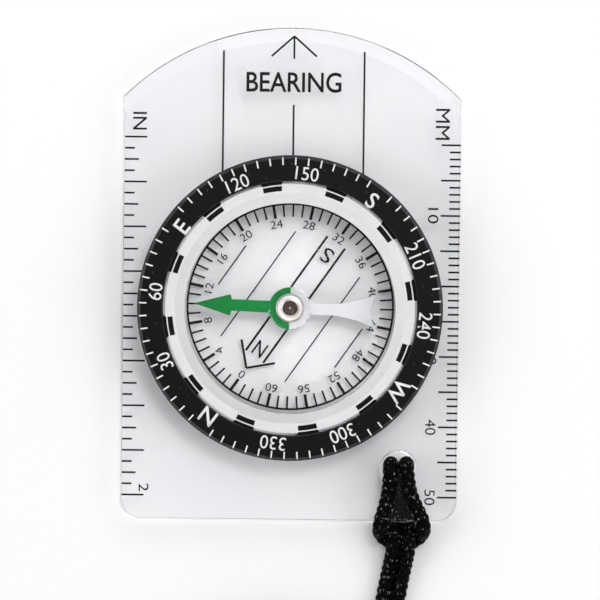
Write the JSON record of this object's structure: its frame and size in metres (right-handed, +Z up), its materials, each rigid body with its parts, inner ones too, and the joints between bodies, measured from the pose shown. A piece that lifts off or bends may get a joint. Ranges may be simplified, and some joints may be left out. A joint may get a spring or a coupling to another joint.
{
  "type": "baseplate compass",
  "caption": "Clear ruler plate with a turning black bezel ring, a snap-in clear capsule with a pivoted two-tone needle, and a black cord lanyard.",
  "frame": {"origin": "under the middle of the plate, on the surface the compass rests on; the lanyard isn't counted", "axes": "+Y along the plate, the direction of travel; +Z up, the side that is read; +X to the right, to the millimetre edge"},
  "size_m": [0.048, 0.1153, 0.0082],
  "materials": {
    "clear_plate": "clear polished acrylic",
    "clear_capsule": "clear moulded plastic",
    "black_bezel": "satin black moulded plastic with white print",
    "needle_paint": "green north half and white south half",
    "magnet": "dark magnet steel",
    "steel": "ground steel",
    "nickel": "bright turned nickel",
    "jewel": "polished dark brown bearing jewel",
    "black_cord": "round braided cord",
    "black_ink": "black printed ink on the plate and the capsule's floor",
    "white_ink": "white printed ink on the bezel ring"
  },
  "bodies": {
    "plate": {"baseplate": "clear_plate", "lanyard_cord_a": "black_cord", "lanyard_cord_b": "black_cord", "lanyard_coil": "black_cord", "lanyard_knot": "black_cord"},
    "dial": {"bezel_ring": "black_bezel", "capsule_bowl": "clear_capsule", "capsule_lid": "clear_capsule", "pivot_pin": "steel"},
    "needle": {"needle_vane": "needle_paint", "needle_magnet": "magnet", "bearing_cup": "nickel", "bearing_jewel": "jewel"}
  },
  "joints": [
    {"name": "dial_turn", "type": "hinge", "parent": "plate", "child": "dial", "pos_m": [0, -0.0046, 0], "axis": [0, 0, 1], "continuous": true},
    {"name": "needle_swing", "type": "hinge", "parent": "dial", "child": "needle", "pos_m": [0, -0.0046, 0], "axis": [0, 0, 1], "continuous": true}
  ]
}
